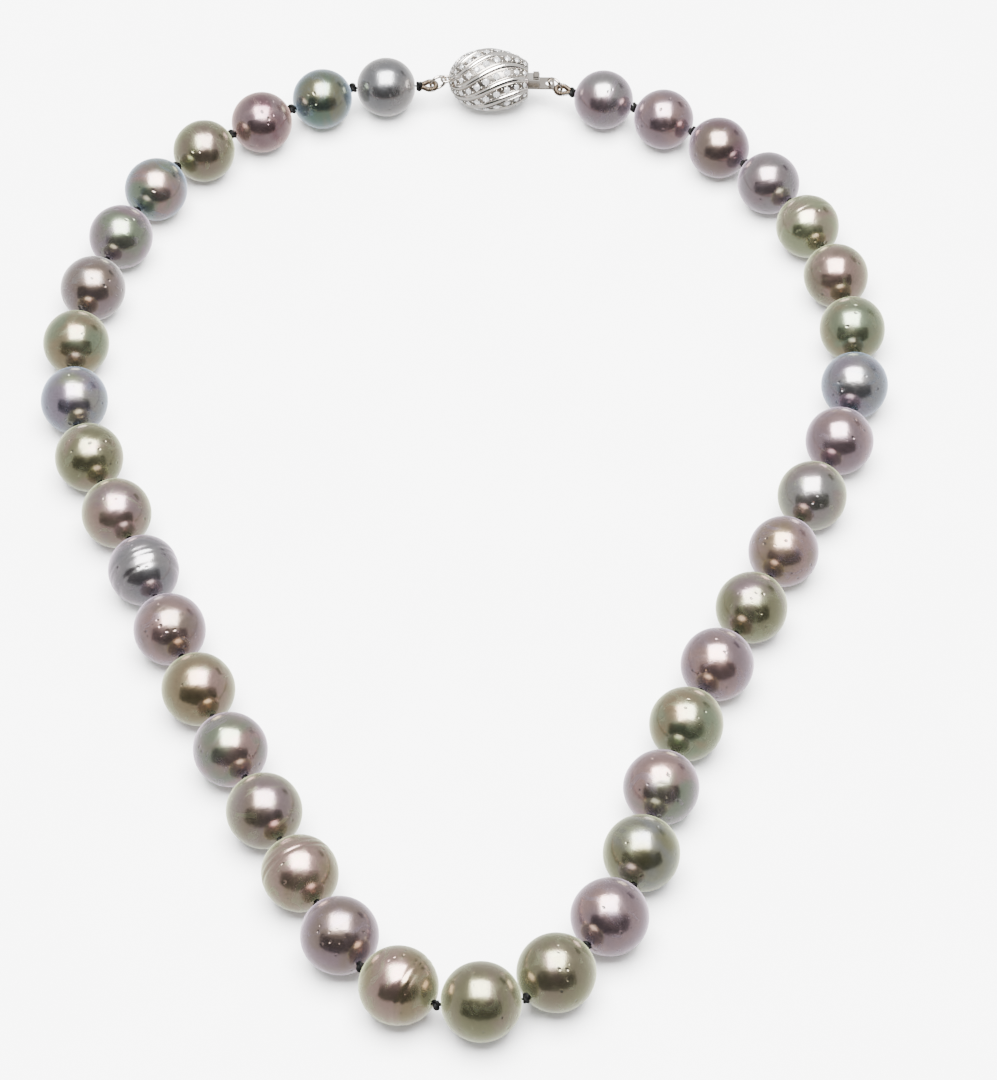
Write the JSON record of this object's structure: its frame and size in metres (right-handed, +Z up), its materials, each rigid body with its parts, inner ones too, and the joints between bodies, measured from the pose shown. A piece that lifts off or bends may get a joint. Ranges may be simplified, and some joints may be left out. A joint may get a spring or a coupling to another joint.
{
  "type": "pearl necklace",
  "caption": "Closed knotted strand of graduated dark round pearls on silk, with a stone-set ball clasp and spring tongue, laid flat as a pear-shaped loop.",
  "frame": {"origin": "on the resting surface, under the middle of the laid loop's bounding box", "axes": "+Z up off the surface, +Y from the front pearl towards the clasp, +X from the clasp ball towards its tongue"},
  "size_m": [0.1283, 0.1856, 0.0117],
  "materials": {
    "nacre_silver": "gloss",
    "nacre_peacock": "gloss",
    "nacre_aubergine": "gloss",
    "nacre_bronze": "gloss",
    "nacre_pistachio": "gloss",
    "nacre_rose": "gloss",
    "silk": "matte",
    "white_metal": "polished",
    "gimp_wire": "satin",
    "stone": "polished"
  },
  "bodies": {
    "front": {"pearl_20": "nacre_peacock", "silk_thread": "silk"},
    "left_arm": {"gimp_left": "gimp_wire"},
    "right_arm": {"gimp_right": "gimp_wire"},
    "pearl_01": {"pearl_01": "nacre_silver"},
    "pearl_02": {"pearl_02": "nacre_peacock"},
    "pearl_03": {"pearl_03": "nacre_aubergine"},
    "pearl_04": {"pearl_04": "nacre_bronze"},
    "pearl_05": {"pearl_05": "nacre_rose"},
    "pearl_06": {"pearl_06": "nacre_pistachio"},
    "pearl_07": {"pearl_07": "nacre_aubergine"},
    "pearl_08": {"pearl_08": "nacre_bronze"},
    "pearl_09": {"pearl_09": "nacre_pistachio"},
    "pearl_10": {"pearl_10": "nacre_rose"},
    "pearl_11": {"pearl_11": "nacre_rose"},
    "pearl_12": {"pearl_12": "nacre_silver"},
    "pearl_13": {"pearl_13": "nacre_aubergine"},
    "pearl_14": {"pearl_14": "nacre_bronze"},
    "pearl_15": {"pearl_15": "nacre_rose"},
    "pearl_16": {"pearl_16": "nacre_aubergine"},
    "pearl_17": {"pearl_17": "nacre_bronze"},
    "pearl_18": {"pearl_18": "nacre_peacock"},
    "pearl_19": {"pearl_19": "nacre_bronze"},
    "pearl_21": {"pearl_21": "nacre_bronze"},
    "pearl_22": {"pearl_22": "nacre_rose"},
    "pearl_23": {"pearl_23": "nacre_bronze"},
    "pearl_24": {"pearl_24": "nacre_peacock"},
    "pearl_25": {"pearl_25": "nacre_bronze"},
    "pearl_26": {"pearl_26": "nacre_rose"},
    "pearl_27": {"pearl_27": "nacre_silver"},
    "pearl_28": {"pearl_28": "nacre_rose"},
    "pearl_29": {"pearl_29": "nacre_aubergine"},
    "pearl_30": {"pearl_30": "nacre_rose"},
    "pearl_31": {"pearl_31": "nacre_silver"},
    "pearl_32": {"pearl_32": "nacre_peacock"},
    "pearl_33": {"pearl_33": "nacre_pistachio"},
    "pearl_34": {"pearl_34": "nacre_pistachio"},
    "pearl_35": {"pearl_35": "nacre_silver"},
    "pearl_36": {"pearl_36": "nacre_aubergine"},
    "pearl_37": {"pearl_37": "nacre_rose"},
    "pearl_38": {"pearl_38": "nacre_silver"},
    "clasp_ball": {"clasp_ball": "white_metal", "pave_stones": "stone"},
    "ball_ring": {"ball_ring": "white_metal"},
    "tongue": {"tongue_plate": "white_metal"},
    "jump_ring": {"jump_ring": "white_metal"},
    "spring_leaf": {"spring_leaf": "white_metal", "thumb_tab": "white_metal"}
  },
  "joints": [
    {"name": "left_arm_opens", "type": "hinge", "parent": "front", "child": "left_arm", "pos_m": [-0.00496, -0.08713, 0.00582], "axis": [0, 0, 1], "range_deg": [0, 36], "deforming": ["silk_thread"]},
    {"name": "right_arm_opens", "type": "hinge", "parent": "front", "child": "right_arm", "pos_m": [0.00784, -0.08633, 0.00581], "axis": [0, 0, -1], "range_deg": [0, 42], "deforming": ["silk_thread"]},
    {"name": "ball_swings", "type": "hinge", "parent": "left_arm", "child": "clasp_ball", "pos_m": [-0.00484, 0.08734, 0.0046], "axis": [0, 0, 1], "range_deg": [-0.8, 0.8]},
    {"name": "tongue_swings", "type": "hinge", "parent": "right_arm", "child": "tongue", "pos_m": [0.0156, 0.08613, 0.0046], "axis": [0, 0, 1], "range_deg": [-0.8, 0.8]},
    {"name": "ball_ring_swings", "type": "hinge", "parent": "clasp_ball", "child": "ball_ring", "pos_m": [-0.0025, 0.08833, 0.00495], "axis": [0, 0, 1], "range_deg": [-4, 4]},
    {"name": "jump_ring_swings", "type": "hinge", "parent": "tongue", "child": "jump_ring", "pos_m": [0.01364, 0.08777, 0.00495], "axis": [0, 0, 1], "range_deg": [-4, 4]},
    {"name": "tab_press", "type": "hinge", "parent": "tongue", "child": "spring_leaf", "pos_m": [0.00275, 0.08815, 0.00446], "axis": [0.0349, 0.9994, 0], "range_deg": [0, 5.5], "stiffness_Nm_per_rad": 0.0005},
    {"name": "pearl_01_turns", "type": "hinge", "parent": "left_arm", "child": "pearl_01", "pos_m": [-0.01181, 0.08717, 0.00462], "axis": [-0.9995, -0.0312, 0.0032], "continuous": true},
    {"name": "pearl_02_turns", "type": "hinge", "parent": "left_arm", "child": "pearl_02", "pos_m": [-0.02175, 0.08487, 0.00467], "axis": [-0.9132, -0.4074, 0.0063], "continuous": true},
    {"name": "pearl_03_turns", "type": "hinge", "parent": "left_arm", "child": "pearl_03", "pos_m": [-0.03117, 0.08018, 0.00473], "axis": [-0.8756, -0.4829, 0.0062], "continuous": true},
    {"name": "pearl_04_turns", "type": "hinge", "parent": "left_arm", "child": "pearl_04", "pos_m": [-0.04008, 0.07439, 0.0048], "axis": [-0.7971, -0.6039, 0.0061], "continuous": true},
    {"name": "pearl_05_turns", "type": "hinge", "parent": "left_arm", "child": "pearl_05", "pos_m": [-0.04739, 0.06665, 0.00486], "axis": [-0.5592, -0.829, 0.0061], "continuous": true},
    {"name": "pearl_06_turns", "type": "hinge", "parent": "left_arm", "child": "pearl_06", "pos_m": [-0.05264, 0.05711, 0.00493], "axis": [-0.4016, -0.9158, 0.006], "continuous": true},
    {"name": "pearl_07_turns", "type": "hinge", "parent": "left_arm", "child": "pearl_07", "pos_m": [-0.05672, 0.04685, 0.005], "axis": [-0.3381, -0.9411, 0.0059], "continuous": true},
    {"name": "pearl_08_turns", "type": "hinge", "parent": "left_arm", "child": "pearl_08", "pos_m": [-0.05905, 0.036, 0.00506], "axis": [-0.0798, -0.9968, 0.0058], "continuous": true},
    {"name": "pearl_09_turns", "type": "hinge", "parent": "left_arm", "child": "pearl_09", "pos_m": [-0.05907, 0.02472, 0.00513], "axis": [0.0752, -0.9972, 0.0058], "continuous": true},
    {"name": "pearl_10_turns", "type": "hinge", "parent": "left_arm", "child": "pearl_10", "pos_m": [-0.05659, 0.01366, 0.00519], "axis": [0.3565, -0.9343, 0.0057], "continuous": true},
    {"name": "pearl_11_turns", "type": "hinge", "parent": "left_arm", "child": "pearl_11", "pos_m": [-0.05228, 0.00292, 0.00526], "axis": [0.3881, -0.9216, 0.0056], "continuous": true},
    {"name": "pearl_12_turns", "type": "hinge", "parent": "left_arm", "child": "pearl_12", "pos_m": [-0.04802, -0.008, 0.00532], "axis": [0.3388, -0.9409, 0.0056], "continuous": true},
    {"name": "pearl_13_turns", "type": "hinge", "parent": "left_arm", "child": "pearl_13", "pos_m": [-0.04397, -0.01913, 0.00539], "axis": [0.3454, -0.9384, 0.0055], "continuous": true},
    {"name": "pearl_14_turns", "type": "hinge", "parent": "left_arm", "child": "pearl_14", "pos_m": [-0.03958, -0.03027, 0.00545], "axis": [0.387, -0.9221, 0.0055], "continuous": true},
    {"name": "pearl_15_turns", "type": "hinge", "parent": "left_arm", "child": "pearl_15", "pos_m": [-0.03478, -0.04138, 0.00552], "axis": [0.4067, -0.9135, 0.0054], "continuous": true},
    {"name": "pearl_16_turns", "type": "hinge", "parent": "left_arm", "child": "pearl_16", "pos_m": [-0.02974, -0.05253, 0.00559], "axis": [0.4166, -0.9091, 0.0053], "continuous": true},
    {"name": "pearl_17_turns", "type": "hinge", "parent": "left_arm", "child": "pearl_17", "pos_m": [-0.0245, -0.06374, 0.00565], "axis": [0.43, -0.9028, 0.0053], "continuous": true},
    {"name": "pearl_18_turns", "type": "hinge", "parent": "left_arm", "child": "pearl_18", "pos_m": [-0.01876, -0.07484, 0.00572], "axis": [0.4883, -0.8727, 0.0052], "continuous": true},
    {"name": "pearl_19_turns", "type": "hinge", "parent": "left_arm", "child": "pearl_19", "pos_m": [-0.01033, -0.08373, 0.00578], "axis": [0.8444, -0.5357, 0.0052], "continuous": true},
    {"name": "pearl_21_turns", "type": "hinge", "parent": "right_arm", "child": "pearl_21", "pos_m": [0.01223, -0.08185, 0.00578], "axis": [0.6992, 0.7149, -0.0055], "continuous": true},
    {"name": "pearl_22_turns", "type": "hinge", "parent": "right_arm", "child": "pearl_22", "pos_m": [0.02005, -0.0722, 0.00571], "axis": [0.5539, 0.8326, -0.0056], "continuous": true},
    {"name": "pearl_23_turns", "type": "hinge", "parent": "right_arm", "child": "pearl_23", "pos_m": [0.02484, -0.06105, 0.00564], "axis": [0.2214, 0.9752, -0.0057], "continuous": true},
    {"name": "pearl_24_turns", "type": "hinge", "parent": "right_arm", "child": "pearl_24", "pos_m": [0.02798, -0.04928, 0.00557], "axis": [0.294, 0.9558, -0.0057], "continuous": true},
    {"name": "pearl_25_turns", "type": "hinge", "parent": "right_arm", "child": "pearl_25", "pos_m": [0.03191, -0.03788, 0.0055], "axis": [0.3566, 0.9342, -0.0058], "continuous": true},
    {"name": "pearl_26_turns", "type": "hinge", "parent": "right_arm", "child": "pearl_26", "pos_m": [0.03674, -0.027, 0.00543], "axis": [0.4548, 0.8906, -0.0059], "continuous": true},
    {"name": "pearl_27_turns", "type": "hinge", "parent": "right_arm", "child": "pearl_27", "pos_m": [0.04212, -0.01653, 0.00536], "axis": [0.4598, 0.888, -0.0059], "continuous": true},
    {"name": "pearl_28_turns", "type": "hinge", "parent": "right_arm", "child": "pearl_28", "pos_m": [0.04719, -0.00605, 0.00529], "axis": [0.4102, 0.912, -0.006], "continuous": true},
    {"name": "pearl_29_turns", "type": "hinge", "parent": "right_arm", "child": "pearl_29", "pos_m": [0.05183, 0.00447, 0.00522], "axis": [0.3966, 0.918, -0.0061], "continuous": true},
    {"name": "pearl_30_turns", "type": "hinge", "parent": "right_arm", "child": "pearl_30", "pos_m": [0.05631, 0.01491, 0.00516], "axis": [0.3921, 0.9199, -0.0061], "continuous": true},
    {"name": "pearl_31_turns", "type": "hinge", "parent": "right_arm", "child": "pearl_31", "pos_m": [0.05901, 0.02566, 0.00509], "axis": [0.0877, 0.9961, -0.0062], "continuous": true},
    {"name": "pearl_32_turns", "type": "hinge", "parent": "right_arm", "child": "pearl_32", "pos_m": [0.0591, 0.03671, 0.00502], "axis": [-0.0738, 0.9973, -0.0063], "continuous": true},
    {"name": "pearl_33_turns", "type": "hinge", "parent": "right_arm", "child": "pearl_33", "pos_m": [0.05699, 0.04737, 0.00495], "axis": [-0.312, 0.9501, -0.0064], "continuous": true},
    {"name": "pearl_34_turns", "type": "hinge", "parent": "right_arm", "child": "pearl_34", "pos_m": [0.05303, 0.0574, 0.00488], "axis": [-0.4229, 0.9061, -0.0065], "continuous": true},
    {"name": "pearl_35_turns", "type": "hinge", "parent": "right_arm", "child": "pearl_35", "pos_m": [0.04726, 0.06625, 0.00481], "axis": [-0.6599, 0.7514, -0.0066], "continuous": true},
    {"name": "pearl_36_turns", "type": "hinge", "parent": "right_arm", "child": "pearl_36", "pos_m": [0.03981, 0.07366, 0.00474], "axis": [-0.755, 0.6557, -0.0066], "continuous": true},
    {"name": "pearl_37_turns", "type": "hinge", "parent": "right_arm", "child": "pearl_37", "pos_m": [0.03141, 0.07969, 0.00467], "axis": [-0.8638, 0.5037, -0.0067], "continuous": true},
    {"name": "pearl_38_turns", "type": "hinge", "parent": "right_arm", "child": "pearl_38", "pos_m": [0.02213, 0.08394, 0.00462], "axis": [-0.9463, 0.3232, -0.0034], "continuous": true}
  ]
}
